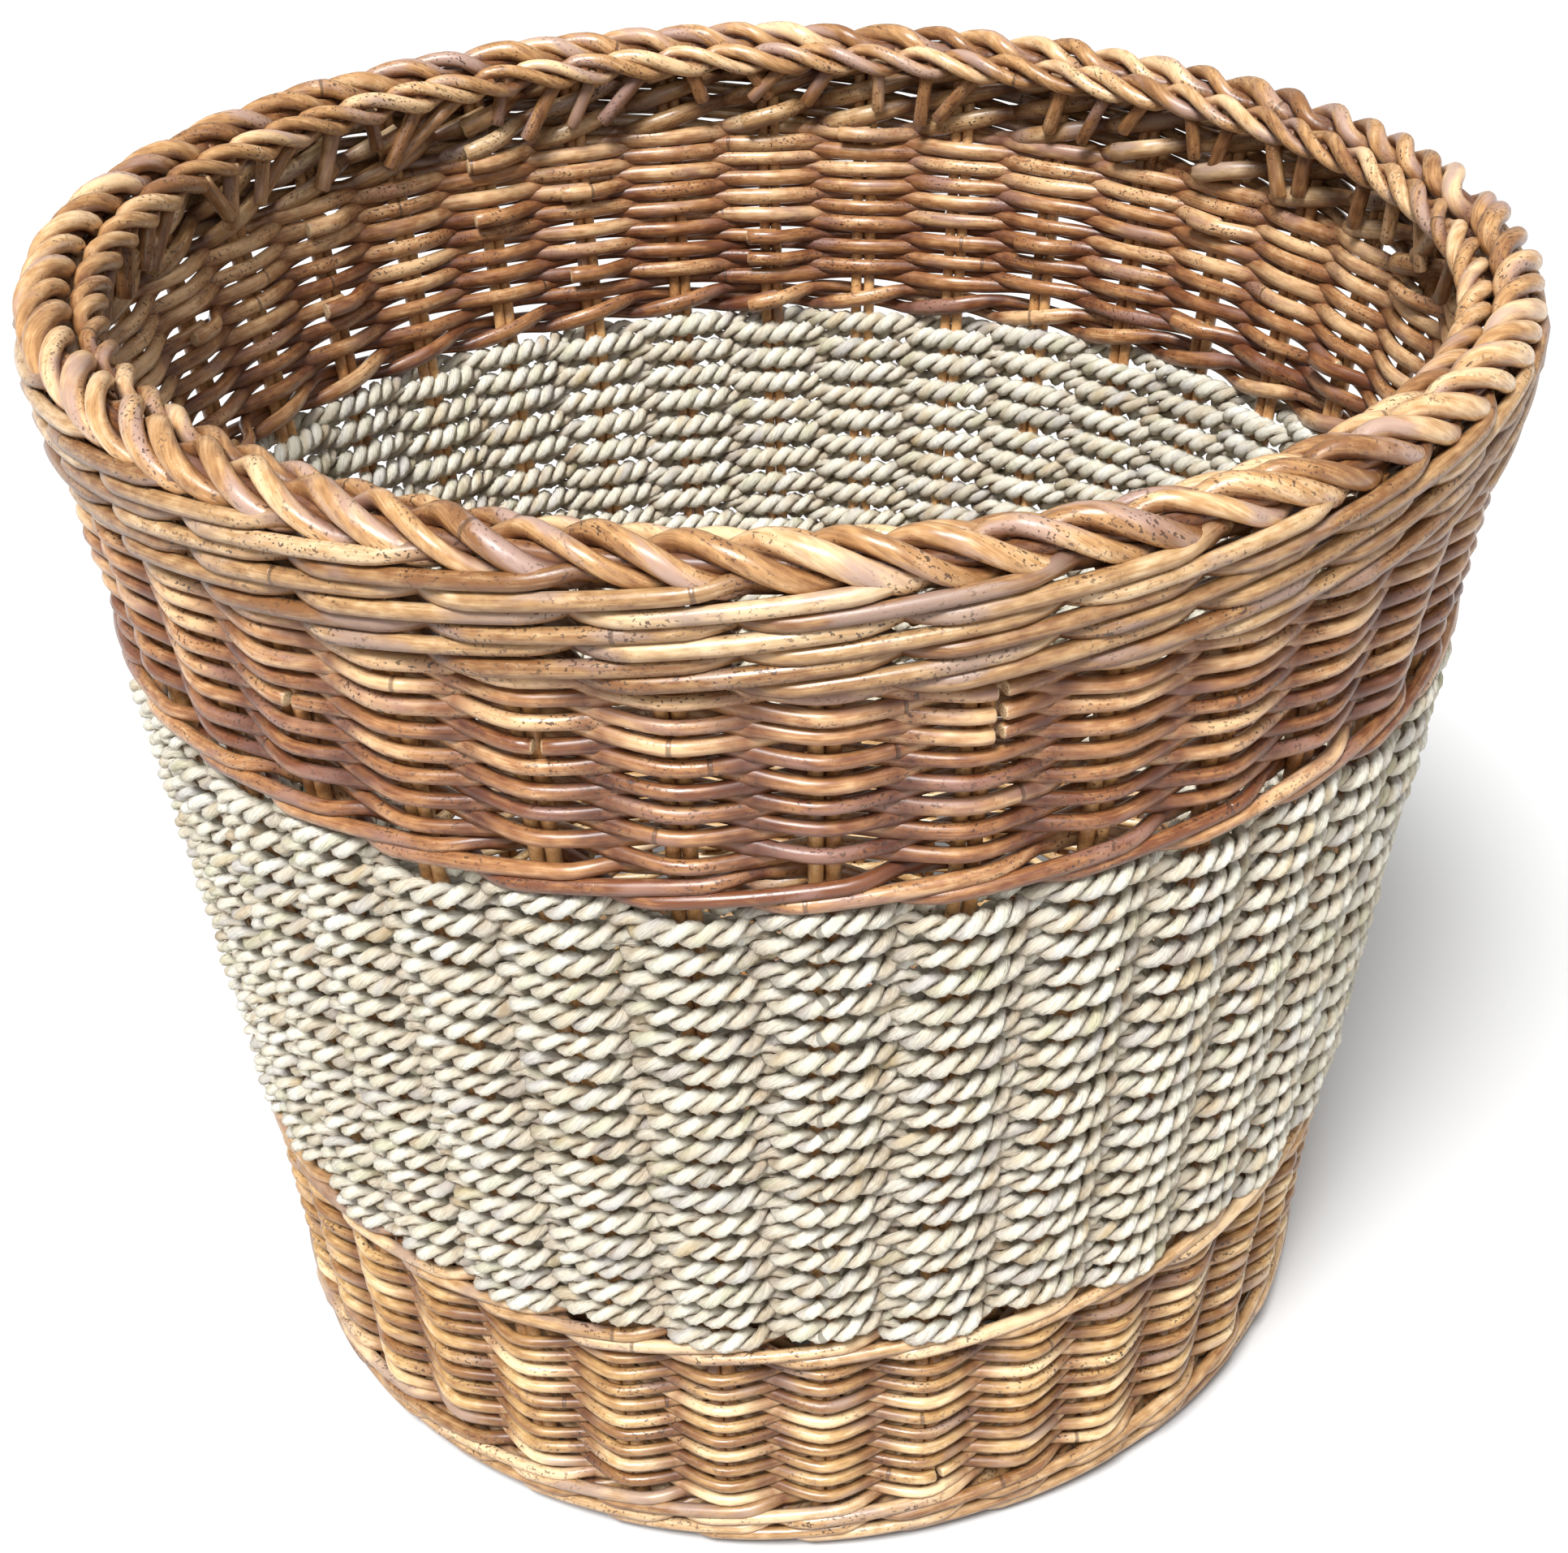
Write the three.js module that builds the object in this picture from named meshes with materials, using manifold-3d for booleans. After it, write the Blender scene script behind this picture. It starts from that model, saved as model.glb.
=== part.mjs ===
// Round tapered laundry basket of woven rattan with a wide band of seagrass rope.
// Millimetres, +Z up, floor at z = 0, basket axis on the Z axis.
// Thirty-six pairs of upright rods (stakes) rise from the base and pass through every woven band.
// Each band is one closed ring round the stakes, and the stakes' tops carry the rolled border.

import * as THREE from 'three';
import { mergeVertices } from 'three/addons/utils/BufferGeometryUtils.js';
import Module from 'manifold-3d';

const wasm = await Module();
wasm.setup();

// Wall, measured over the weave
const footOuterRadius = 208;
const topOuterRadius = 257.5;
const wallHollow = 4.5;
const wallThickness = 18.5;

// Heights of the woven bands, from the floor up
const footWaleHeight = 24;
const lowerWeaveHeight = 74.5;
const lowerWaleHeight = 12.5;
const seagrassHeight = 195;
const middleWaleHeight = 14;
const upperWeaveHeight = 66;
const topWaleHeight = 26.6;

// Rolled border and the small braid inside it
const borderHeight = 17.1;
const borderWidth = 17.4;
const borderSetIn = 2.4;
const braidDiameter = 9.6;
const braidDrop = 4.4;

// Upright rods, in pairs
const stakePairs = 36;
const stakeThickness = 5;
const stakePairWidth = 11;
const spokeClearance = 2.46;
const stakeBendRadius = 9.5;
const firstStakeAngle = THREE.MathUtils.degToRad(1.87);

// Base: woven disc round a cross of sticks
const baseThickness = 14;
const baseLift = 4;
const baseInset = 2.5;
const baseEyeRadius = 27;
const footTread = 12;
const footRounding = 6;
const stickWidth = 5;
const stickPitch = 6.5;
const stickLevelStep = 6;
const stickEndMargin = 4;
const longSticks = 5;
const crossSticks = 4;

// Space left between neighbouring pieces, and how far a stake's passage runs on through the top of the wall
const gap = 0.3;
const passageOvershoot = 2;

// Flat faces round the sections of the border and the braid
const borderCorners = 8;
const braidCorners = 6;

const columnPitch = (2 * Math.PI) / stakePairs;
const wallHeight = footWaleHeight + lowerWeaveHeight + lowerWaleHeight + seagrassHeight
  + middleWaleHeight + upperWeaveHeight + topWaleHeight;
const baseRadius = footOuterRadius - wallThickness - baseInset;
const baseMidHeight = baseLift + baseThickness / 2;

// The tails of the stakes reach in to where a base stick still fits between two of them
const stakeTailRadius = (stakePairWidth / 2 + stickWidth / 2 + spokeClearance) / Math.sin(columnPitch / 2);

const rattan = { color: 0xc48f4e, roughness: 0.5, metalness: 0 };
const rattanDark = { color: 0xa8703c, roughness: 0.55, metalness: 0 };
const rattanPale = { color: 0xd9b06c, roughness: 0.5, metalness: 0 };
const seagrass = { color: 0xd8cfae, roughness: 0.85, metalness: 0 };

function wallRadius(z) {
  const t = z / wallHeight;
  return footOuterRadius + (topOuterRadius - footOuterRadius) * t - wallHollow * 4 * t * (1 - t);
}

function stakeLineRadius(z) {
  return wallRadius(z) - wallThickness / 2;
}

function toSolid(geometry) {
  const bare = geometry.clone();
  bare.deleteAttribute('normal');
  bare.deleteAttribute('uv');
  const merged = mergeVertices(bare);
  return new wasm.Manifold(new wasm.Mesh({
    numProp: 3,
    vertProperties: new Float32Array(merged.attributes.position.array),
    triVerts: new Uint32Array(merged.index.array),
  }));
}

function toGeometry(solid) {
  const mesh = solid.getMesh();
  const geometry = new THREE.BufferGeometry();
  geometry.setAttribute('position', new THREE.BufferAttribute(mesh.vertProperties, 3));
  geometry.setIndex(new THREE.BufferAttribute(mesh.triVerts, 1));
  geometry.computeVertexNormals();
  return geometry;
}

// A closed outline of (radius, height) points turned round the Z axis
function turned(outline, segments) {
  const points = [...outline, outline[0]].map(([radius, z]) => new THREE.Vector2(radius, z));
  const start = firstStakeAngle - columnPitch / 2;
  return new THREE.LatheGeometry(points, segments, start, 2 * Math.PI).rotateX(Math.PI / 2);
}

// The outline of a flat strip that follows a line of points, with a mitre at each bend
function stripOutline(line, halfWidth) {
  const points = line.map(([x, y]) => new THREE.Vector2(x, y));
  const left = [];
  const right = [];
  points.forEach((point, i) => {
    const before = points[Math.max(i - 1, 0)];
    const after = points[Math.min(i + 1, points.length - 1)];
    const arriving = (i > 0 ? point.clone().sub(before) : after.clone().sub(point)).normalize();
    const leaving = (i < points.length - 1 ? after.clone().sub(point) : arriving.clone()).normalize();
    const across = arriving.clone().add(leaving).normalize();
    const reach = halfWidth / across.dot(leaving);
    left.push(new THREE.Vector2(point.x - across.y * reach, point.y + across.x * reach));
    right.push(new THREE.Vector2(point.x + across.y * reach, point.y - across.x * reach));
  });
  return new THREE.Shape([...right, ...left.reverse()]);
}

// A line lengthened at its two ends
function lengthened(line, atStart, atEnd) {
  const points = line.map(([x, y]) => new THREE.Vector2(x, y));
  const last = points.length - 1;
  const back = points[0].clone().sub(points[1]).setLength(atStart);
  const on = points[last].clone().sub(points[last - 1]).setLength(atEnd);
  points[0].add(back);
  points[last].add(on);
  return points.map((point) => [point.x, point.y]);
}

// Line of one stake pair in its own upright plane: out through the base, up through the wall
function stakeLine() {
  const bendTop = footWaleHeight;
  const wallFoot = stakeLineRadius(bendTop);
  const line = [[stakeTailRadius, baseMidHeight], [wallFoot - stakeBendRadius, baseMidHeight]];
  const turn = THREE.MathUtils.degToRad(45);
  line.push([
    wallFoot - stakeBendRadius * (1 - Math.sin(turn)),
    baseMidHeight + stakeBendRadius * (1 - Math.cos(turn)),
  ]);
  const seagrassFoot = footWaleHeight + lowerWeaveHeight + lowerWaleHeight;
  const seagrassTop = seagrassFoot + seagrassHeight;
  const rise = wallHeight - seagrassTop;
  const lean = Math.atan2(stakeLineRadius(wallHeight) - stakeLineRadius(seagrassTop), rise);
  const top = wallHeight - (stakeThickness / 2) * Math.sin(lean);
  for (const z of [bendTop, seagrassFoot, seagrassTop, top]) {
    line.push([stakeLineRadius(z), z]);
  }
  return line;
}

// A strip of the given outline stood upright on the radius that points to -Y
function uprightStrip(shape, width) {
  const geometry = new THREE.ExtrudeGeometry(shape, { depth: width, bevelEnabled: false });
  geometry.translate(0, 0, -width / 2);
  const frame = new THREE.Matrix4().makeBasis(
    new THREE.Vector3(0, -1, 0),
    new THREE.Vector3(0, 0, 1),
    new THREE.Vector3(-1, 0, 0),
  );
  return geometry.applyMatrix4(frame);
}

function stakeGeometry() {
  return uprightStrip(stripOutline(stakeLine(), stakeThickness / 2), stakePairWidth);
}

// The passage that a stake pair needs, open at the top of the wall
function stakePassage() {
  const line = lengthened(stakeLine(), gap, passageOvershoot);
  return uprightStrip(stripOutline(line, stakeThickness / 2 + gap), stakePairWidth + 2 * gap);
}

function allStakePassages() {
  const passage = stakePassage();
  const solids = [];
  for (let k = 0; k < stakePairs; k += 1) {
    solids.push(toSolid(passage.clone().rotateZ(firstStakeAngle + k * columnPitch)));
  }
  return wasm.Manifold.union(solids);
}

// Line of one base stick seen from above: it crosses the middle beside its fellows, then fans out
function stickLine(place, fanStep) {
  const reach = baseRadius - stickEndMargin;
  const fan = place * fanStep;
  const offset = place * stickPitch;
  const shoulder = Math.sqrt(baseEyeRadius ** 2 - offset ** 2);
  return [
    [-reach * Math.cos(fan), reach * Math.sin(fan)],
    [-shoulder, offset],
    [shoulder, offset],
    [reach * Math.cos(fan), reach * Math.sin(fan)],
  ];
}

// Every base stick: its line, its height and its turn about the axis
function baseSticks() {
  const spokeStep = 2 * columnPitch;
  const turn = firstStakeAngle + columnPitch / 2 - Math.PI / 2;
  const sticks = [];
  for (let k = 0; k < longSticks; k += 1) {
    const place = k - (longSticks - 1) / 2;
    sticks.push({ place, z: baseMidHeight - stickLevelStep / 2, turn, spokeStep });
  }
  for (let k = 0; k < crossSticks; k += 1) {
    const place = k - (crossSticks - 1) / 2;
    sticks.push({ place, z: baseMidHeight + stickLevelStep / 2, turn: turn + Math.PI / 2, spokeStep });
  }
  return sticks;
}

function stickGeometry(stick, extra) {
  const line = lengthened(stickLine(stick.place, stick.spokeStep), extra, extra);
  const height = stickWidth + 2 * extra;
  const shape = stripOutline(line, stickWidth / 2 + extra);
  const geometry = new THREE.ExtrudeGeometry(shape, { depth: height, bevelEnabled: false });
  return geometry.translate(0, 0, stick.z - height / 2).rotateZ(stick.turn);
}

// One woven band of the wall, between two heights
function bandOutline(bottom, top) {
  const low = bottom + gap / 2;
  const high = top - gap / 2;
  return [
    [wallRadius(low) - wallThickness, low],
    [wallRadius(low), low],
    [wallRadius(high), high],
    [wallRadius(high) - wallThickness, high],
  ];
}

// The foot: the first rounds of weave, which turn under to the tread that stands on the floor
function footOutline() {
  const inner = baseRadius + gap;
  const high = footWaleHeight - gap / 2;
  return [
    [inner, 0],
    [inner + footTread, 0],
    [wallRadius(0), footRounding],
    [wallRadius(high), high],
    [wallRadius(high) - wallThickness, high],
    [inner, baseLift + baseThickness],
  ];
}

function ellipseOutline(radius, z, halfWidth, halfHeight, corners) {
  const outline = [];
  for (let k = 0; k < corners; k += 1) {
    const turn = (2 * Math.PI * (k + 0.5)) / corners;
    const fit = 1 / Math.cos(Math.PI / corners);
    outline.push([
      radius + halfWidth * fit * Math.cos(turn),
      z + halfHeight * fit * Math.sin(turn),
    ]);
  }
  return outline;
}

function borderGeometry() {
  const radius = wallRadius(wallHeight) - borderSetIn - borderWidth / 2;
  const z = wallHeight + gap + borderHeight / 2;
  return turned(ellipseOutline(radius, z, borderWidth / 2, borderHeight / 2, borderCorners), stakePairs);
}

function braidGeometry() {
  const borderInner = wallRadius(wallHeight) - borderSetIn - borderWidth;
  const radius = borderInner - gap - braidDiameter / 2;
  const z = wallHeight + gap + borderHeight / 2 - braidDrop;
  return turned(ellipseOutline(radius, z, braidDiameter / 2, braidDiameter / 2, braidCorners), stakePairs);
}

function baseWeaveOutline() {
  return [
    [baseEyeRadius, baseLift],
    [baseRadius, baseLift],
    [baseRadius, baseLift + baseThickness],
    [baseEyeRadius, baseLift + baseThickness],
  ];
}

const basket = new THREE.Group();

function addPiece(name, geometry, finish, turn = 0) {
  const mesh = new THREE.Mesh(geometry, new THREE.MeshStandardMaterial(finish));
  mesh.name = name;
  mesh.rotation.z = turn;
  basket.add(mesh);
}

const passages = allStakePassages();

// Woven bands, each pierced by the stakes
const bands = [
  ['lower_weave', lowerWeaveHeight, rattan],
  ['lower_wale', lowerWaleHeight, rattan],
  ['seagrass_weave', seagrassHeight, seagrass],
  ['middle_wale', middleWaleHeight, rattan],
  ['upper_weave', upperWeaveHeight, rattanDark],
  ['top_wale', topWaleHeight, rattanPale],
];
addPiece('foot_wale', toGeometry(toSolid(turned(footOutline(), stakePairs)).subtract(passages)), rattanPale);
let bandBottom = footWaleHeight;
for (const [name, height, finish] of bands) {
  const ring = toSolid(turned(bandOutline(bandBottom, bandBottom + height), stakePairs));
  addPiece(name, toGeometry(ring.subtract(passages)), finish);
  bandBottom += height;
}

addPiece('rolled_border', borderGeometry(), rattanPale);
addPiece('inner_braid', braidGeometry(), rattan);

// Base
const sticks = baseSticks();
const stickPassages = wasm.Manifold.union(sticks.map((stick) => toSolid(stickGeometry(stick, gap))));
const baseDisc = toSolid(turned(baseWeaveOutline(), stakePairs));
addPiece('base_weave', toGeometry(baseDisc.subtract(passages).subtract(stickPassages)), rattanDark);
sticks.forEach((stick, k) => {
  addPiece(`base_stick_${k + 1}`, stickGeometry(stick, 0), rattanDark);
});

// Stakes
const stake = stakeGeometry();
for (let k = 0; k < stakePairs; k += 1) {
  const name = `stake_pair_${String(k + 1).padStart(2, '0')}`;
  addPiece(name, stake, rattanDark, firstStakeAngle + k * columnPitch);
}

export default basket;
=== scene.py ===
import math

import bpy
import numpy as np
from mathutils import Matrix, Vector


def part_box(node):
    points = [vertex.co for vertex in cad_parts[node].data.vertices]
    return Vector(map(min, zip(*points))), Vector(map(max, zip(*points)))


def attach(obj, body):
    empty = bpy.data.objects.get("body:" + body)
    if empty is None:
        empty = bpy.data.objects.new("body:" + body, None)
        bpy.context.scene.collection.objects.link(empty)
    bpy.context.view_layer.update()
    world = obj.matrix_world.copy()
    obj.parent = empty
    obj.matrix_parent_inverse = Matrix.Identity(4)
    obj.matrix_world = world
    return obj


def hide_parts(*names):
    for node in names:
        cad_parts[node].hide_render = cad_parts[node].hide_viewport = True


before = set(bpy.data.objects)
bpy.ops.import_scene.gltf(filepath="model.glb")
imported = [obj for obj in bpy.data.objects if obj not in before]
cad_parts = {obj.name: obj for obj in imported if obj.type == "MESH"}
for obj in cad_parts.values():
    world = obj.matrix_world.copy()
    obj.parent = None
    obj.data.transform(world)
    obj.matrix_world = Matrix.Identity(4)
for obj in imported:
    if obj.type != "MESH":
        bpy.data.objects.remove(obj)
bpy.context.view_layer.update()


# ---------------------------------------------------------------------------------------------- base sticks
# Nine round rattan sticks make the cross of the base, five one way under four the other way.
# Each is straight through the middle, then bends at the edge of the cross and fans out as two spokes,
# so that eighteen spokes stand 20 degrees apart, each one between two pairs of stakes.
STICK_RADIUS = 0.0025
STICK_PITCH = 0.0065
STICK_SIDES = 10
SPOKES = 18
CROSS_RADIUS = 0.027
STICK_MARGIN = 0.004
LONG_STICKS = 5
CROSS_STICKS = 4
BENT_LENGTH = 0.016
LEVEL_STEP = 0.003
TIP_SHARE = 0.04
TIP_SIZE = 0.8

base_low, base_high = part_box("base_weave")
base_middle = (base_low.z + base_high.z) / 2
base_radius = (base_high.x - base_low.x) / 2
stake_low, stake_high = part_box("stake_pair_01")
stake_middle = (stake_low + stake_high) / 2
first_stake = math.atan2(stake_middle.x, -stake_middle.y)
column_step = math.radians(10)


class Value:
    """A number or a colour that varies over a surface, with its arithmetic done by nodes."""

    def __init__(self, finish, socket):
        self.finish = finish
        self.socket = socket

    def _math(self, operation, first, second):
        return self.finish.node("ShaderNodeMath", {"operation": operation}, {0: first, 1: second})

    def __add__(self, other):
        return self._math("ADD", self, other)

    def __radd__(self, other):
        return self._math("ADD", other, self)

    def __sub__(self, other):
        return self._math("SUBTRACT", self, other)

    def __rsub__(self, other):
        return self._math("SUBTRACT", other, self)

    def __mul__(self, other):
        return self._math("MULTIPLY", self, other)

    def __rmul__(self, other):
        return self._math("MULTIPLY", other, self)


class Finish:
    """A material of nodes round one Principled shader."""

    def __init__(self, name):
        self.material = bpy.data.materials.new(name)
        self.material.use_nodes = True
        self.tree = self.material.node_tree
        self.shader = self.tree.nodes["Principled BSDF"]

    def node(self, kind, settings, sockets, output=0):
        made = self.tree.nodes.new(kind)
        for name, value in settings.items():
            if name == "stops":
                self._set_stops(made.color_ramp, value)
            else:
                setattr(made, name, value)
        for name, value in sockets.items():
            self._connect(made.inputs[name], value)
        return Value(self, made.outputs[output])

    def _set_stops(self, ramp, stops):
        while len(ramp.elements) < len(stops):
            ramp.elements.new(1.0)
        for element, (place, shade) in zip(ramp.elements, stops):
            element.position = place
            element.color = (*shade, 1.0) if hasattr(shade, "__len__") else (shade, shade, shade, 1.0)

    def _connect(self, socket, value):
        if isinstance(value, Value):
            self.tree.links.new(value.socket, socket)
        else:
            socket.default_value = value

    def attribute(self, name, output):
        return self.node("ShaderNodeAttribute", {"attribute_name": name}, {}, output)

    def stretched(self, place, scale, shift=(0.0, 0.0, 0.0)):
        return self.node("ShaderNodeMapping", {}, {"Vector": place, "Scale": scale, "Location": shift})

    def noise(self, place, scale, detail=2.0, roughness=0.5):
        return self.node(
            "ShaderNodeTexNoise",
            {},
            {"Vector": place, "Scale": scale, "Detail": detail, "Roughness": roughness},
        )

    def between(self, value, low, high, out_low=0.0, out_high=1.0):
        return self.node(
            "ShaderNodeMapRange",
            {"interpolation_type": "SMOOTHSTEP"},
            {"Value": value, "From Min": low, "From Max": high, "To Min": out_low, "To Max": out_high},
        )

    def mix(self, share, first, second, blend="MIX"):
        first = first if isinstance(first, Value) else (*first, 1.0)
        second = second if isinstance(second, Value) else (*second, 1.0)
        return self.node(
            "ShaderNodeMix", {"data_type": "RGBA", "blend_type": blend}, {0: share, 6: first, 7: second}, 2
        )

    def set(self, name, value):
        self._connect(self.shader.inputs[name], value)

    def bump(self, height, distance, strength=1.0):
        self.set("Normal", self.node("ShaderNodeBump", {}, {"Height": height, "Distance": distance,
                                                            "Strength": strength}))


def rattan_finish(name, pale, warm, deep, mauve, mauve_share, specks, roughness):
    """Peeled and unpeeled rattan: honey to brown from rod to rod and along each rod, with pores and nodes,
    and painted shade where rods lie deep in the weave or turn their undersides down.
    """
    finish = Finish(name)
    place = finish.attribute("rod_place", 1)
    tint = finish.attribute("rod_tint", 2)
    cut = finish.attribute("rod_cut", 2)
    drift = finish.noise(finish.stretched(place, (9.0, 60.0, 60.0)), 1.0, 2.0)
    patches = finish.noise(finish.stretched(place, (26.0, 90.0, 90.0), (3.0, 7.0, 1.0)), 1.0, 3.0)
    fibres = finish.noise(finish.stretched(place, (60.0, 1500.0, 1500.0)), 1.0, 3.0, 0.6)
    mottle = finish.noise(finish.stretched(place, (170.0, 420.0, 420.0), (6.0, 4.0, 2.0)), 1.0, 2.0)
    nook = finish.attribute("rod_nook", 2)
    shade = tint * 0.6 + (drift - 0.5) * 1.3 + (mottle - 0.5) * 0.95 + (fibres - 0.5) * 0.8 + 0.2
    colour = finish.node(
        "ShaderNodeValToRGB", {"stops": [(0.08, pale), (0.5, warm), (0.92, deep)]}, {"Fac": shade}
    )
    greyed = finish.between(patches, 0.62 - mauve_share * 0.2, 0.76 - mauve_share * 0.2, 0.0, 0.8)
    colour = finish.mix(greyed, colour, mauve)
    spot_field = finish.noise(finish.stretched(place, (760.0, 900.0, 900.0)), 1.0, 1.0)
    spot_areas = finish.noise(finish.stretched(place, (38.0, 120.0, 120.0), (5.0, 2.0, 9.0)), 1.0, 1.0)
    spots = finish.between(spot_field, 0.60, 0.67) * finish.between(spot_areas, 0.60 - specks * 0.2, 0.70)
    colour = finish.mix(spots * 0.85, colour, (0.055, 0.026, 0.014))
    length = finish.node("ShaderNodeSeparateXYZ", {}, {0: place})
    wave = finish.node("ShaderNodeMath", {"operation": "PINGPONG"}, {0: length, 1: 0.24})
    node_ring = finish.between(wave, 0.0003, 0.0009, 1.0, 0.0)
    node_swell = finish.between(wave, 0.0006, 0.0042, 1.0, 0.0)
    colour = finish.mix(node_ring * 0.65, colour, (0.075, 0.038, 0.022))
    pores = finish.noise(place, 2600.0, 1.0)
    end_grain = finish.mix(finish.between(pores, 0.5, 0.62), (0.78, 0.60, 0.36), (0.34, 0.20, 0.10))
    colour = finish.mix(cut, colour, end_grain)
    # Painted shade: the colour is multiplied towards dark brown where a rod lies deep in the weave, tucks
    # under another rod or turns its underside down.
    colour = finish.mix(nook * 0.85, colour, finish.mix(1.0, colour, (0.29, 0.135, 0.06), "MULTIPLY"))
    finish.set("Base Color", colour)
    finish.set("Roughness", roughness + (fibres - 0.5) * 0.25 + greyed * 0.16 + cut * 0.3 + nook * 0.2)
    finish.shader.inputs["IOR"].default_value = 1.5
    finish.shader.inputs["Coat Weight"].default_value = 0.35
    finish.shader.inputs["Coat Roughness"].default_value = 0.3
    finish.bump(fibres * 0.35 + drift * 0.8 - spots * 0.9 + node_swell * 1.1 - node_ring * 1.2, 0.00035, 0.75)
    return finish.material


def dress_rod(rod, offset, tint, length_of):
    """Gives a modelled rod the coordinates along and across it that the rattan finish reads."""
    mesh = rod.data
    points = np.empty(len(mesh.vertices) * 3, np.float32)
    mesh.vertices.foreach_get("co", points)
    points = points.reshape(-1, 3)
    place = points.copy()
    place[:, 0] = length_of(points) + offset
    clean = np.zeros(len(points))
    write_rod_attributes(mesh, place, np.full(len(points), tint), clean, clean)


def write_rod_attributes(mesh, place, tint, cut, nook):
    for name, kind, field, values in (
        ("rod_place", "FLOAT_VECTOR", "vector", place),
        ("rod_tint", "FLOAT", "value", tint),
        ("rod_cut", "FLOAT", "value", cut),
        ("rod_nook", "FLOAT", "value", nook),
    ):
        attribute = mesh.attributes.new(name, kind, "POINT")
        attribute.data.foreach_set(field, np.asarray(values, np.float32).ravel())


def select_end(mesh, direction, reach):
    """In edit mode, selects only the face that looks along a direction and lies furthest that way."""
    bpy.ops.mesh.select_all(action="DESELECT")
    bpy.ops.object.mode_set(mode="OBJECT")
    for face in mesh.polygons:
        face.select = face.normal.dot(direction) > 0.9 and face.center.dot(direction) > reach
    bpy.ops.object.mode_set(mode="EDIT")
    bpy.ops.mesh.select_mode(type="FACE")


def extrude_by(step):
    bpy.ops.mesh.extrude_region_move(TRANSFORM_OT_translate={"value": tuple(step)})


base_finish = rattan_finish(
    "rattan_base",
    pale=(0.50, 0.31, 0.13),
    warm=(0.33, 0.175, 0.065),
    deep=(0.16, 0.073, 0.028),
    mauve=(0.25, 0.16, 0.11),
    mauve_share=0.5,
    specks=0.7,
    roughness=0.45,
)

stick_reach = base_radius - STICK_MARGIN
stick_turn = first_stake + column_step / 2 - math.pi / 2
spoke_step = 2 * math.pi / SPOKES
stick_draw = np.random.default_rng(11)


def make_base_stick(name, place, level, turn):
    offset = place * STICK_PITCH
    shoulder = math.sqrt(CROSS_RADIUS**2 - offset**2)
    bpy.ops.object.select_all(action="DESELECT")
    bpy.ops.mesh.primitive_cylinder_add(
        vertices=STICK_SIDES,
        radius=STICK_RADIUS,
        depth=2 * shoulder,
        location=(0, offset, base_middle + level),
        rotation=(0, math.pi / 2, 0),
    )
    stick = bpy.context.active_object
    bpy.ops.object.transform_apply(location=True, rotation=True, scale=True)
    bpy.ops.object.mode_set(mode="EDIT")
    fan = place * spoke_step
    for side in (-1, 1):
        select_end(stick.data, Vector((side, 0, 0)), shoulder * 0.9)
        middle = np.array((side * shoulder, offset, base_middle + level))
        end = np.array((side * stick_reach * math.cos(fan), stick_reach * math.sin(fan), base_middle))
        bent = end - middle
        bent[2] = 0
        bent *= BENT_LENGTH / np.linalg.norm(bent)
        bent[2] = -level
        extrude_by(bent / 2)
        extrude_by(bent / 2)
        rest = end - (middle + bent)
        extrude_by(rest * (1 - TIP_SHARE))
        extrude_by(rest * TIP_SHARE)
        bpy.ops.transform.resize(value=(TIP_SIZE, TIP_SIZE, TIP_SIZE), center_override=tuple(end))
    bpy.ops.mesh.select_all(action="SELECT")
    bpy.ops.mesh.normals_make_consistent(inside=False)
    bpy.ops.object.mode_set(mode="OBJECT")
    bpy.ops.object.shade_smooth_by_angle(angle=math.radians(50))
    stick.data.transform(Matrix.Rotation(turn, 4, "Z"))
    stick.name = name
    return stick


stick_places = [(k - (LONG_STICKS - 1) / 2, -LEVEL_STEP, stick_turn) for k in range(LONG_STICKS)]
crossed_turn = stick_turn + math.pi / 2
stick_places += [(k - (CROSS_STICKS - 1) / 2, LEVEL_STEP, crossed_turn) for k in range(CROSS_STICKS)]
for number, (place, level, turn) in enumerate(stick_places, 1):
    stick = make_base_stick(f"spoke_stick_{number}", place, level, turn)
    along = Vector((math.cos(turn), math.sin(turn), 0))
    dress_rod(stick, stick_draw.uniform(0, 5), stick_draw.uniform(0.3, 0.9), lambda p: p @ np.array(along))
    stick.data.materials.append(base_finish)
    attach(stick, "root")
    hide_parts(f"base_stick_{number}")


# ---------------------------------------------------------------------------------------------- base weave
# The base is woven of thinner rattan, over one spoke and under the next, in closed rounds beaten
# against each other from the cross out to the foot. Past the cross each spoke takes a stake tail
# on each side of it, and the rounds go over or under all of them together.
WEAVER_RADIUS = 0.0021
BASE_PITCH = 0.0051
BASE_WAVE = 0.0048
BASE_STEPS = 10
BASE_OVERREACH = 0.0005
CROSS_ROUNDS = (0.0185, 0.0228)
CROSS_WAVE = 0.0062
CROSS_PERIOD = 18.0
CROSS_SHARPNESS = 2.0
SPOKE_PERIOD = 2
SPOKE_SHARPNESS = 1.2
TAIL_SHARPNESS = 1.6
TAILS_BEGIN = 0.11
TAILS_BLEND = 0.02
COLUMNS = 36
ROD_SIDES = 8
UNDERSIDE_PAINTED_SHADE = 0.62
END_BULGE = 0.22
END_SIZE = 0.8


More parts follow.
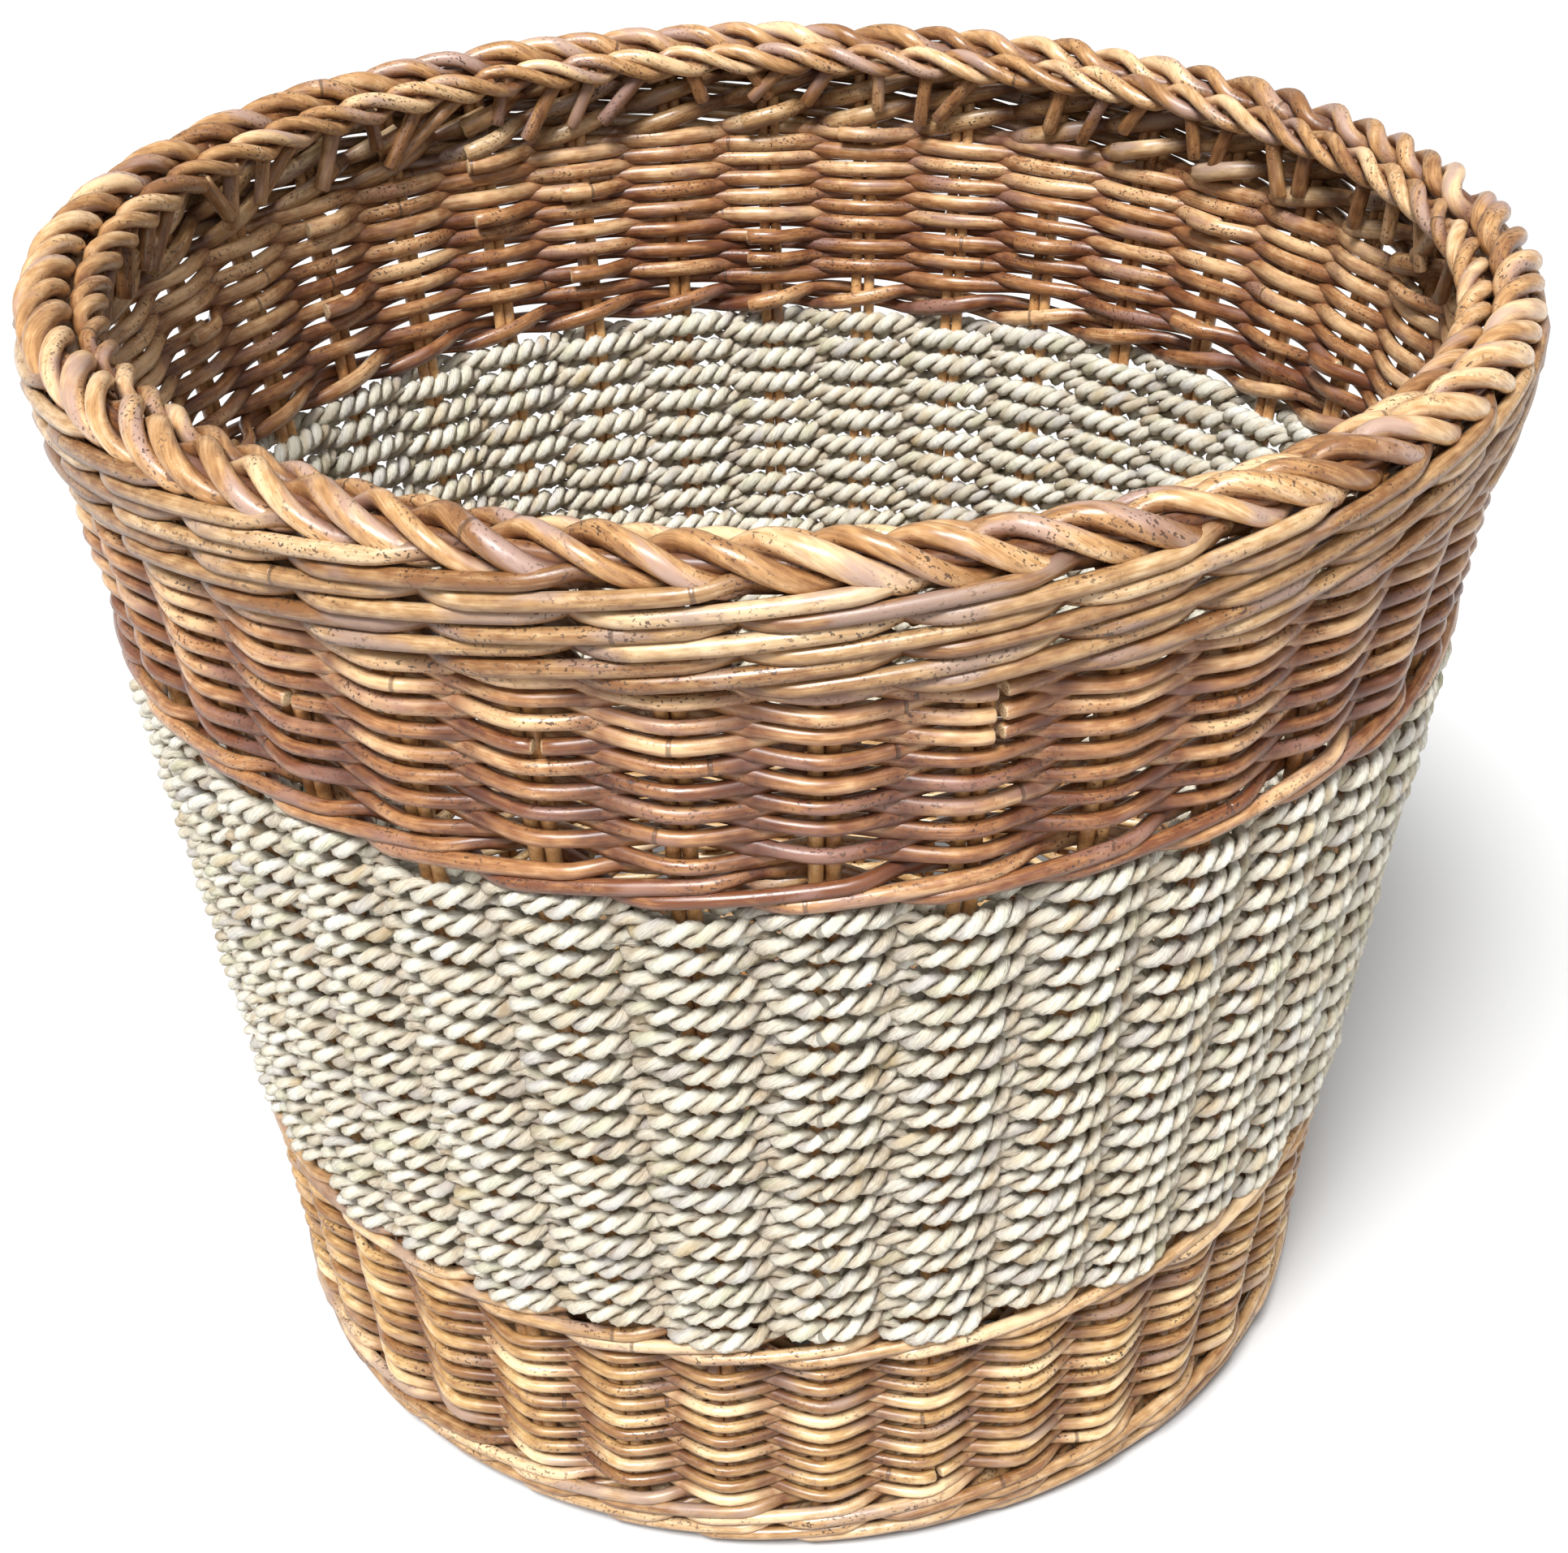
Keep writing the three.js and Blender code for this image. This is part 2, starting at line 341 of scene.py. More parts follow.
class RodBundle:
    """Many round rods gathered into one mesh, each with rounded cut ends or closed on itself."""

    def __init__(self, seed):
        self.draw = np.random.default_rng(seed)
        self.points = []
        self.quads = []
        self.caps = []
        self.place = []
        self.tint = []
        self.cut = []
        self.nook = []
        self.count = 0

    def add(
        self,
        line,
        radius,
        sides=ROD_SIDES,
        up=(0, 0, 1),
        tint=None,
        closed=False,
        nook=0.0,
        tall=1.0,
        under=UNDERSIDE_PAINTED_SHADE,
    ):
        line = np.asarray(line, float)
        up = np.broadcast_to(np.asarray(up, float), line.shape)
        turn = 2 * np.pi * np.arange(sides) / sides
        # Painted shade on each rod's underside, the side turned away from up, strongest straight below; it is
        # joined to the painted shade passed in.
        painted_underside = under * np.clip(0.15 - 1.3 * np.sin(turn), 0, 1)
        nook = np.maximum(np.asarray(nook, float).reshape(-1, 1), painted_underside[None, :])
        nook = np.broadcast_to(nook, (len(line), sides))
        tall = np.broadcast_to(np.asarray(tall, float), len(line))
        radius = np.broadcast_to(np.asarray(radius, float), len(line)).copy()
        if closed:
            tangent = np.roll(line, -1, 0) - np.roll(line, 1, 0)
        else:
            tangent = np.gradient(line, axis=0)
        tangent /= np.linalg.norm(tangent, axis=1)[:, None]
        cut = np.zeros(len(line))
        if not closed:
            start = line[0] - tangent[0] * radius[0] * END_BULGE
            end = line[-1] + tangent[-1] * radius[-1] * END_BULGE
            line = np.vstack([start, line, end])
            tangent = np.vstack([tangent[0], tangent, tangent[-1]])
            radius = np.concatenate([[radius[0] * END_SIZE], radius, [radius[-1] * END_SIZE]])
            cut = np.concatenate([[1.0], cut, [1.0]])
            up = np.vstack([up[0], up, up[-1]])
            nook = np.vstack([nook[0], nook, nook[-1]])
            tall = np.concatenate([tall[:1], tall, tall[-1:]])
            if np.ndim(tint):
                tint = np.concatenate([tint[:1], tint, tint[-1:]])
        across = np.cross(tangent, up)
        across /= np.linalg.norm(across, axis=1)[:, None]
        over = np.cross(across, tangent)
        ring_x = np.cos(turn)[None, :, None] * radius[:, None, None]
        ring_y = np.sin(turn)[None, :, None] * (radius * tall)[:, None, None]
        rings = line[:, None, :] + across[:, None, :] * ring_x + over[:, None, :] * ring_y
        steps = np.linalg.norm(np.diff(line, axis=0), axis=1)
        length = np.concatenate([[0], np.cumsum(steps)])
        offset = self.draw.uniform(0, 40)
        place = np.stack(
            [
                np.repeat(length + offset, sides).reshape(-1, sides),
                ring_x[:, :, 0] + offset * 0.1,
                ring_y[:, :, 0] + offset * 0.07,
            ],
            axis=2,
        )
        rows = len(line)
        index = self.count + np.arange(rows * sides).reshape(rows, sides)
        if closed:
            low, high = index, np.roll(index, -1, 0)
        else:
            low, high = index[:-1], index[1:]
        self.quads.append(
            np.stack([low, high, np.roll(high, -1, 1), np.roll(low, -1, 1)], axis=2).reshape(-1, 4)
        )
        if not closed:
            self.caps.append(index[0])
            self.caps.append(index[-1][::-1])
        self.points.append(rings.reshape(-1, 3))
        self.place.append(place.reshape(-1, 3))
        tint = self.draw.uniform(0, 1) if tint is None else tint
        self.tint.append(np.repeat(np.broadcast_to(tint, rows), sides))
        self.cut.append(np.repeat(cut, sides))
        self.nook.append(nook.ravel())
        self.count += rows * sides

    def build(self, name, finish):
        mesh = bpy.data.meshes.new(name)
        points = np.concatenate(self.points)
        quads = np.concatenate(self.quads)
        loops = [quads.ravel()]
        sizes = [np.full(len(quads), 4)]
        if self.caps:
            loops.append(np.concatenate(self.caps))
            sizes.append(np.array([len(cap) for cap in self.caps]))
        loops = np.concatenate(loops)
        sizes = np.concatenate(sizes)
        mesh.vertices.add(len(points))
        mesh.vertices.foreach_set("co", points.astype(np.float32).ravel())
        mesh.loops.add(len(loops))
        mesh.loops.foreach_set("vertex_index", loops.astype(np.int32))
        mesh.polygons.add(len(sizes))
        starts = np.concatenate([[0], np.cumsum(sizes)[:-1]])
        mesh.polygons.foreach_set("loop_start", starts.astype(np.int32))
        smooth = np.ones(len(sizes), bool)
        smooth[len(quads):] = False
        mesh.update(calc_edges=True)
        mesh.polygons.foreach_set("use_smooth", smooth)
        gathered = [np.concatenate(part) for part in (self.place, self.tint, self.cut, self.nook)]
        write_rod_attributes(mesh, *gathered)
        mesh.materials.append(finish)
        piece = bpy.data.objects.new(name, mesh)
        bpy.context.scene.collection.objects.link(piece)
        return piece


def round_points(column, radius, height):
    """Points of a round of weave, by column number, radius and height."""
    angle = first_stake + np.asarray(column) * column_step
    height = np.broadcast_to(height, angle.shape)
    return np.stack([radius * np.sin(angle), -radius * np.cos(angle), height], axis=1)


def wave(column, period, sharpness):
    """In front at 0 and behind half a period on, with flat strokes and quick crossings between."""
    return np.tanh(sharpness * np.cos(2 * np.pi * column / period)) / math.tanh(sharpness)


base_rods = RodBundle(21)
for number, radius in enumerate(CROSS_ROUNDS):
    column = np.arange(0, COLUMNS, 0.5)
    side = 1 if number % 2 else -1
    height = base_middle + side * CROSS_WAVE * wave(column - 0.5, CROSS_PERIOD, CROSS_SHARPNESS)
    base_rods.add(round_points(column, radius, height), WEAVER_RADIUS, closed=True)
radius = CROSS_RADIUS + WEAVER_RADIUS
side = 1
while radius < base_radius + BASE_OVERREACH:
    column = np.arange(0, COLUMNS, 2 / BASE_STEPS)
    wander = 0.0003 * np.sin(column * 0.9 + base_rods.draw.uniform(0, 6))
    tails = min(1.0, max(0.0, (radius - TAILS_BEGIN) / TAILS_BLEND))
    sharpness = SPOKE_SHARPNESS + TAIL_SHARPNESS * tails
    height = base_middle + side * BASE_WAVE * wave(column - 0.5, 2 * SPOKE_PERIOD, sharpness)
    base_rods.add(round_points(column, radius + wander, height), WEAVER_RADIUS, closed=True)
    radius += BASE_PITCH * base_rods.draw.uniform(0.94, 1.06)
    side = -side
base_weave = base_rods.build("woven_base", base_finish)
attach(base_weave, "root")
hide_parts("base_weave")


# ---------------------------------------------------------------------------------------------- stakes
# Thirty-six pairs of upright rattan rods carry the wall. Each rod lies in the base beside a spoke,
# bends up at the foot and runs inside the weave to the border. The wall it follows widens
# from foot to rim and is slightly hollow on the way.
FOOT_RADIUS = 0.208
RIM_RADIUS = 0.2575
WALL_HOLLOW = 0.0045
STAKE_RADIUS = 0.0024
STAKE_SPACING = 0.0051
STAKE_BEND = 0.0095
BEND_TOP = 0.024
STAKE_SIDES = 10
STAKE_STEPS = 14
STAKE_PAIRS = 36
HALF_WALL = 0.00925

wall_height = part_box("top_wale")[1].z
stake_tail = min(math.hypot(v.co.x, v.co.y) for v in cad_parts["stake_pair_01"].data.vertices)


def wall_radius(height):
    t = np.asarray(height) / wall_height
    return FOOT_RADIUS + (RIM_RADIUS - FOOT_RADIUS) * t - WALL_HOLLOW * 4 * t * (1 - t)


def stake_line(height):
    return wall_radius(height) - HALF_WALL


def wall_lean(height):
    """How far the outside of the wall faces below the horizontal."""
    t = np.asarray(height) / wall_height
    return np.arctan((RIM_RADIUS - FOOT_RADIUS - WALL_HOLLOW * 4 * (1 - 2 * t)) / wall_height)


def wall_points(column, height, forward, lift=0.0):
    """Points of the weave: forward is measured square to the wall, lift along it."""
    lean = wall_lean(height)
    radius = stake_line(height) + forward * np.cos(lean) + lift * np.sin(lean)
    return round_points(column, radius, height - forward * np.sin(lean) + lift * np.cos(lean))


stake_finish = rattan_finish(
    "rattan_stake",
    pale=(0.68, 0.40, 0.17),
    warm=(0.50, 0.25, 0.09),
    deep=(0.28, 0.12, 0.04),
    mauve=(0.30, 0.19, 0.14),
    mauve_share=0.2,
    specks=0.5,
    roughness=0.36,
)


def model_stake():
    """One rod in the plane y = 0: a cylinder in the base, spun up the bend and extruded up the wall."""
    foot_radius = float(stake_line(BEND_TOP))
    bend_start = foot_radius - STAKE_BEND
    bpy.ops.object.select_all(action="DESELECT")
    bpy.ops.mesh.primitive_cylinder_add(
        vertices=STAKE_SIDES,
        radius=STAKE_RADIUS,
        depth=bend_start - stake_tail,
        location=((bend_start + stake_tail) / 2, 0, base_middle),
        rotation=(0, math.pi / 2, 0),
    )
    rod = bpy.context.active_object
    bpy.ops.object.transform_apply(location=True, rotation=True, scale=True)
    bpy.ops.object.mode_set(mode="EDIT")
    select_end(rod.data, Vector((1, 0, 0)), bend_start * 0.98)
    bpy.ops.mesh.spin(
        steps=6, angle=math.pi / 2, center=(bend_start, 0, base_middle + STAKE_BEND), axis=(0, 1, 0)
    )
    height = base_middle + STAKE_BEND
    place = Vector((foot_radius, 0, height))
    for target in np.linspace(BEND_TOP + 0.004, wall_height + 0.004, STAKE_STEPS):
        goal = Vector((float(stake_line(min(target, wall_height))), 0, float(target)))
        extrude_by(goal - place)
        place = goal
    bpy.ops.mesh.select_all(action="SELECT")
    bpy.ops.mesh.remove_doubles(threshold=1e-6)
    bpy.ops.mesh.normals_make_consistent(inside=False)
    bpy.ops.object.mode_set(mode="OBJECT")
    bpy.ops.object.shade_smooth_by_angle(angle=math.radians(60))
    return rod


stake_draw = np.random.default_rng(31)
pattern_rod = model_stake()
for number in range(STAKE_PAIRS):
    rods = []
    for side in (-1, 1):
        rod = pattern_rod.copy()
        rod.data = pattern_rod.data.copy()
        bpy.context.scene.collection.objects.link(rod)
        rod.data.transform(Matrix.Translation((0, side * STAKE_SPACING / 2, 0)))
        dress_rod(rod, stake_draw.uniform(0, 5), stake_draw.uniform(0, 1), lambda p: p[:, 0] + p[:, 2])
        angle = first_stake + number * column_step + stake_draw.normal(0, 0.0012)
        rod.data.transform(Matrix.Rotation(angle - math.pi / 2, 4, "Z"))
        rods.append(rod)
    bpy.ops.object.select_all(action="DESELECT")
    for rod in rods:
        rod.select_set(True)
    bpy.context.view_layer.objects.active = rods[0]
    bpy.ops.object.join()
    pair = rods[0]
    pair.name = f"stake_rods_{number + 1:02d}"
    pair.data.materials.append(stake_finish)
    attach(pair, "root")
    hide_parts(f"stake_pair_{number + 1:02d}")
bpy.data.objects.remove(pattern_rod)


# ---------------------------------------------------------------------------------------------- foot wale
# The foot is finished with rounds of three-rod wale: each rod goes in front of two pairs of stakes
# and behind the third. The rounds follow the stakes round the bend and turn under the edge of the
# base, where the lowest strokes are what the basket stands on.
WALE_RADIUS = 0.0025
WALE_PERIOD = 3
WALE_STEPS = 10
WALE_RAMP = 0.85
WALE_FORWARD = 0.02
WALE_BACK = 2.13
LOWEST_RADIUS = 0.0026
TUCK = 2.1
JOIN_LEAD = 0.05
JOIN_TAIL = 0.25
JOIN_RAMP = 0.4
INSIDE_PAINTED_LIGHT = 0.32
INSIDE_FLATTER = 0.4


def smooth_step(x):
    x = np.clip(x, 0, 1)
    return x * x * (3 - 2 * x)


def wale_stroke(column, first):
    """How far forward (1 in front, -1 behind) and how far up (-1 to 1) a wale rod is at a column."""
    u = np.mod(column - first, WALE_PERIOD)
    going = smooth_step((u - WALE_FORWARD) / WALE_RAMP)
    coming = smooth_step((u - WALE_BACK) / WALE_RAMP)
    forward = -1 + 2 * (going - coming)
    rise = np.where(u < 0.5, -u / 0.5, np.where(u < 2.5, u - 1.5, (3.0 - u) / 0.5))
    return forward, rise


def weave_painted_shade(forward):
    """How much painted shade a rod gets from lying deep in the weave: 0 on the outside, most of all between
    the stakes, and less on the inside of the wall."""
    depth = 1 - smooth_step((np.abs(forward) - 0.05) / 0.85)
    return depth * np.where(forward > 0, 1.0, 0.45)


def lay_rods(bundle, path, joins, radius, tone):
    """Lays rods end to end along a round: each ends behind a stake, on top of the next one's start."""
    for first, last in zip(joins, joins[1:] + [joins[0] + STAKE_PAIRS]):
        count = int(round((last - first + JOIN_LEAD + JOIN_TAIL) * WALE_STEPS)) + 1
        column = np.linspace(first - JOIN_LEAD, last + JOIN_TAIL, count)
        tuck = smooth_step((column - (last - JOIN_LEAD - JOIN_RAMP)) / JOIN_RAMP) * radius * TUCK
        thickness = radius * (1 + 0.05 * np.sin(column * 1.7 + bundle.draw.uniform(0, 6)))
        thickness = thickness * bundle.draw.uniform(0.93, 1.06)
        line, forward = path(column, tuck)
        # Painted light: the rod turns paler where it runs inside the wall, lifting the less lit inside of the
        # basket.
        tint = np.clip(bundle.draw.uniform(0, 1) + tone - INSIDE_PAINTED_LIGHT * smooth_step(-forward), 0, 1)
        tall = 1 + INSIDE_FLATTER * smooth_step(0.3 - forward)
        # The rod gets painted shade where it lies deep in the weave.
        bundle.add(line, thickness, tint=tint, nook=weave_painted_shade(forward), tall=tall)


def wale_joins(bundle, first):
    places = np.arange(first, first + STAKE_PAIRS, WALE_PERIOD)
    count = int(bundle.draw.integers(2, 4))
    chosen = np.sort(bundle.draw.choice(places, count, replace=False))
    return [float(place) for place in chosen]


def wale_round(bundle, middle, lean, reach, rise_height, radius=WALE_RADIUS, tone=0.0):
    """One round of three-rod wale. middle is (radius, height) of the stake line, lean the angle that
    the outside faces below the horizontal, reach the swing before and behind it."""
    out = np.array((math.cos(lean), -math.sin(lean)))
    along = np.array((math.sin(lean), math.cos(lean)))
    for first in range(WALE_PERIOD):
        wander = bundle.draw.uniform(0, 6, 3)

        def path(column, tuck):
            forward, rise = wale_stroke(column, first)
            swing = np.where(forward > 0, forward * reach[0], forward * reach[1]) - tuck
            swing = swing + 0.0004 * np.sin(column * 1.3 + wander[0])
            lift = rise * rise_height + 0.0003 * np.sin(column * 0.8 + wander[1])
            u = np.mod(column - first, WALE_PERIOD)
            swing = swing - 0.0007 * np.clip(u - 1.5, -1, 1) * (forward > 0)
            place = np.array(middle)[None, :] + swing[:, None] * out + lift[:, None] * along
            return round_points(column, place[:, 0], place[:, 1]), forward

        lay_rods(bundle, path, wale_joins(bundle, first), radius, tone)


wale_finish = rattan_finish(
    "rattan_wale",
    pale=(0.72, 0.52, 0.31),
    warm=(0.44, 0.26, 0.115),
    deep=(0.22, 0.095, 0.033),
    mauve=(0.33, 0.225, 0.18),
    mauve_share=0.45,
    specks=1.25,
    roughness=0.33,
)
foot_rods = RodBundle(41)
bend_radius = float(stake_line(BEND_TOP))
for past_bend, height, lean, reach, rise, radius in (
    (0.0002, 0.0190, 8, (0.0058, 0.0050), 0.0040, WALE_RADIUS),
    (-0.0012, 0.0118, 34, (0.0062, 0.0044), 0.0036, WALE_RADIUS),
    (-0.0058, 0.0103, 78, (0.0064, 0.0052), 0.0030, LOWEST_RADIUS),
):
    wale_round(foot_rods, (bend_radius + past_bend, height), math.radians(lean), reach, rise, radius)
foot_wale = foot_rods.build("foot_wale_rods", wale_finish)
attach(foot_wale, "root")
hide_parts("foot_wale")


# ---------------------------------------------------------------------------------------------- lower weave
# Above the foot come eighteen rounds of plain weave in round rattan, in front of one pair of stakes
# and behind the next. The rods are joined behind the stakes, and here and there in front of them.
WEAVE_RADIUS = 0.0022
WEAVE_SWING = 0.0062
WEAVE_STEPS = 10
WEAVE_ROUNDING = 0.90
LOWER_ROUNDS = 18
LOWER_SWAY = 0.0003
OUTSIDE_JOINS = 0.25
BUTT_GAP = 0.16


def weave_joins(bundle, side):
    """Columns where the rods of a round meet, most of them behind the stakes."""
    count = int(bundle.draw.integers(2, 5))
    inside = np.arange(1 if side > 0 else 0, STAKE_PAIRS, 2)
    chosen = np.sort(bundle.draw.choice(inside, count, replace=False)).astype(float)
    shift = np.where(bundle.draw.uniform(0, 1, count) < OUTSIDE_JOINS, 1.0, 0.0)
    return sorted(set(chosen + shift))


def angled_wave(column, rounding):
    """In front at 0 and behind at 1, straight between the stakes and bent round them."""
    return np.arcsin(rounding * np.cos(np.pi * column)) / math.asin(rounding)


def weave_round(bundle, height, side, radius, swing, sway, tall=1.0, tone=0.0):
    """One round of plain weave at a height; side is 1 or -1 for the two ways it can alternate. The rods
    lie flatter inside the wall, where tall is how much higher than thick they are."""
    wander = bundle.draw.uniform(0, 6, 4)

    def place(column):
        forward = side * angled_wave(column, WEAVE_ROUNDING)
        depth = swing * (1 + 0.06 * np.sin(column * 0.7 + wander[0]))
        lift = sway * (np.sin(column * 0.55 + wander[1]) + 0.7 * np.sin(column * 2.3 + wander[2]))
        return forward, forward * depth, height + lift

    joins = weave_joins(bundle, side)
    for first, last in zip(joins, joins[1:] + [joins[0] + STAKE_PAIRS]):
        starts_outside = side * math.cos(math.pi * first) > 0
        ends_outside = side * math.cos(math.pi * last) > 0
        start = first + BUTT_GAP if starts_outside else first - JOIN_LEAD
        end = last + BUTT_GAP / 2 if ends_outside else last + JOIN_TAIL
        column = np.linspace(start, end, int(round((end - start) * WEAVE_STEPS)) + 1)
        tuck = smooth_step((column - (last - JOIN_LEAD - JOIN_RAMP)) / JOIN_RAMP) * radius * TUCK
        tuck = tuck * (0.0 if ends_outside else -1.0)
        forward, offset, level = place(column)
        thickness = radius * (1 + 0.05 * np.sin(column * 1.1 + bundle.draw.uniform(0, 6)))
        thickness = thickness * bundle.draw.uniform(0.9, 1.07)
        flattened = 1 + (tall - 1) * smooth_step(0.6 - forward)
        # Painted light: the rod turns paler where it runs inside the wall, lifting the less lit inside of the
        # basket.
        tint = np.clip(bundle.draw.uniform(0, 1) + tone - INSIDE_PAINTED_LIGHT * smooth_step(-forward), 0, 1)
        line = wall_points(column, level, offset + tuck)
        # The rod gets painted shade where it lies deep in the weave.
        bundle.add(line, thickness, tint=tint, nook=weave_painted_shade(forward), tall=flattened)


weave_finish = rattan_finish(
    "rattan_weave",
    pale=(0.80, 0.60, 0.35),
    warm=(0.51, 0.31, 0.125),
    deep=(0.25, 0.112, 0.038),
    mauve=(0.36, 0.25, 0.195),
    mauve_share=0.35,
    specks=1.0,
    roughness=0.33,
)
lower_low, lower_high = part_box("lower_weave")
lower_rods = RodBundle(51)
lower_pitch = (lower_high.z - lower_low.z) / LOWER_ROUNDS
for number in range(LOWER_ROUNDS):
    height = lower_low.z + (number + 0.5) * lower_pitch
    weave_round(lower_rods, height, 1 if number % 2 else -1, WEAVE_RADIUS, WEAVE_SWING, LOWER_SWAY)
lower_weave = lower_rods.build("lower_weave_rods", weave_finish)
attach(lower_weave, "root")
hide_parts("lower_weave")


# ---------------------------------------------------------------------------------------------- lower wale
# One round of three-rod wale closes the lower weave and gives the rope band a firm edge to stand on.
# It is laid like the rounds of the foot, but upright against the wall.
WALE_REACH = (0.0060, 0.0052)
WALE_RISE = 0.0044
LOWER_WALE_LIFT = 0.0019


def band_wale(node, name, rounds, seed, finish, heights, tone=0.0, rise=WALE_RISE, radius=WALE_RADIUS):
    """Rounds of wale up a band of the wall, evenly spaced, in place of one band of the frame."""
    rods = RodBundle(seed)
    for height in np.linspace(*heights, rounds):
        middle = (float(stake_line(height)), float(height))
        wale_round(rods, middle, float(wall_lean(height)), WALE_REACH, rise, radius, tone)
    piece = rods.build(name, finish)
    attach(piece, "root")
    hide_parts(node)
    return piece


wale_low, wale_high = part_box("lower_wale")
lower_wale_height = (wale_low.z + wale_high.z) / 2 + LOWER_WALE_LIFT
band_wale("lower_wale", "lower_wale_rods", 1, 61, wale_finish, (lower_wale_height, lower_wale_height))


# ---------------------------------------------------------------------------------------------- seagrass band
# The wide pale band is seagrass rope, two plies twisted together, woven one in front and one behind
# like the rattan. The plies lie across the rope as short slanting lobes, of uneven thickness and lay.
ROPE_ROUNDS = 34
PLY_RADIUS = 0.00222
PLY_OFFSET = 0.00215
ROPE_LAY = 0.0158
ROPE_REACH = (0.0065, 0.0035)
ROPE_SHARPNESS = 1.1
PLY_SIDES = 7
PLY_STEPS = 11
PLY_UNDERSIDE_PAINTED_SHADE = 0.52
INSIDE_PLUMPER = 0.28
INSIDE_WIDER = 0.12
ROPE_PIECES = 5


def seagrass_finish():
    """Dried seagrass: ivory to greenish and straw, changing every few lobes, with long fibres, and painted
    shade deep in the weave and on the plies' lower sides.
    """
    finish = Finish("seagrass_rope")
    place = finish.attribute("rod_place", 1)
    tint = finish.attribute("rod_tint", 2)
    lobes = finish.noise(finish.stretched(place, (95.0, 130.0, 130.0)), 1.0, 2.0)
    drift = finish.noise(finish.stretched(place, (14.0, 60.0, 60.0), (4.0, 1.0, 6.0)), 1.0, 2.0)
    fibres = finish.noise(finish.stretched(place, (120.0, 3200.0, 3200.0)), 1.0, 3.0, 0.65)
    shade = tint * 0.2 + (lobes - 0.5) * 1.3 + (drift - 0.5) * 0.7 + 0.44
    colour = finish.node(
        "ShaderNodeValToRGB",
        {"stops": [(0.12, (0.56, 0.45, 0.31)), (0.36, (0.80, 0.73, 0.58)), (0.62, (0.91, 0.87, 0.74)),
                   (0.9, (0.96, 0.95, 0.87))]},
        {"Fac": shade},
    )
    green = finish.noise(finish.stretched(place, (48.0, 90.0, 90.0), (9.0, 2.0, 3.0)), 1.0, 1.0)
    colour = finish.mix(finish.between(green, 0.56, 0.74, 0.0, 0.45), colour, (0.50, 0.50, 0.27))
    cool = finish.noise(finish.stretched(place, (40.0, 90.0, 90.0), (2.0, 5.0, 8.0)), 1.0, 1.0)
    colour = finish.mix(finish.between(cool, 0.54, 0.72, 0.0, 0.6), colour, (0.56, 0.53, 0.53))
    straw = finish.noise(finish.stretched(place, (55.0, 90.0, 90.0), (1.0, 8.0, 5.0)), 1.0, 1.0)
    colour = finish.mix(finish.between(straw, 0.60, 0.76, 0.0, 0.55), colour, (0.62, 0.44, 0.20))
    colour = finish.mix(finish.between(fibres, 0.54, 0.72, 0.0, 0.4), colour, (0.40, 0.33, 0.22))
    nook = finish.attribute("rod_nook", 2)
    # Painted shade: the colour is multiplied towards brown where a ply lies deep in the weave, on the rope's
    # lower side or on its own underside.
    colour = finish.mix(nook * 0.9, colour, finish.mix(1.0, colour, (0.36, 0.21, 0.105), "MULTIPLY"))
    finish.set("Base Color", colour)
    finish.set("Roughness", 0.78 + (fibres - 0.5) * 0.3)
    finish.shader.inputs["IOR"].default_value = 1.35
    finish.bump(fibres * 1.3 + lobes * 0.5, 0.0007, 1.0)
    return finish.material


rope_finish = seagrass_finish()
rope_low, rope_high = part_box("seagrass_weave")
rope_pitch = (rope_high.z - rope_low.z) / ROPE_ROUNDS


def rope_round(bundle, height, side):
    """One closed round of rope: a wavy centre line with two plies wound round it."""
    wander = bundle.draw.uniform(0, 6, 6)
    circumference = 2 * math.pi * float(stake_line(height)) * 1.015
    turns = max(1, round(circumference / ROPE_LAY * bundle.draw.uniform(0.95, 1.05)))
    count = turns * PLY_STEPS
    column = np.linspace(0, STAKE_PAIRS, count, endpoint=False)
    forward = side * wave(column, 2, ROPE_SHARPNESS)
    depth = np.where(forward > 0, *ROPE_REACH) * (1 + 0.07 * np.sin(2 * np.pi * column / 12 + wander[0]))
    slow_lift = 0.0005 * np.sin(2 * np.pi * column / 18 + wander[1])
    quick_lift = 0.0004 * np.sin(2 * np.pi * column / 4 + wander[2])
    level = height + (slow_lift + quick_lift)
    centre = wall_points(column, level, forward * depth)
    tangent = np.roll(centre, -1, 0) - np.roll(centre, 1, 0)
    tangent /= np.linalg.norm(tangent, axis=1)[:, None]
    outward = np.cross(tangent, (0, 0, 1))
    outward /= np.linalg.norm(outward, axis=1)[:, None]
    upward = np.cross(outward, tangent)
    slow_lay = 0.55 * np.sin(2 * np.pi * column / 9 + wander[3])
    quick_lay = 0.4 * np.sin(2 * np.pi * column / 3 + wander[4])
    twist = 2 * np.pi * turns * column / STAKE_PAIRS + (slow_lay + quick_lay) + wander[5]
    inside = np.clip(-forward, 0, 1)
    for ply in (0, 1):
        angle = twist + ply * np.pi
        plump = 0.97 + 0.1 * np.sin(2 * np.pi * column / 6 * 5 + wander[ply])
        plump = plump + 0.08 * np.sin(2 * np.pi * column / 9 * 17 + wander[2 + ply])
        away = np.cos(angle)[:, None] * outward + np.sin(angle)[:, None] * upward
        plump = plump + INSIDE_PLUMPER * inside
        # Painted shade: a ply darkens deep in the weave and where it winds round the lower side of the rope,
        # against the row below.
        nook = np.maximum(0.5 * weave_painted_shade(forward), 0.5 * np.clip(-away[:, 2] - 0.3, 0, 1))
        line = centre + PLY_OFFSET * (1 + INSIDE_WIDER * inside)[:, None] * away
        thickness = PLY_RADIUS * plump
        bundle.add(line, thickness, PLY_SIDES, up=away, closed=True, nook=nook, under=PLY_UNDERSIDE_PAINTED_SHADE)


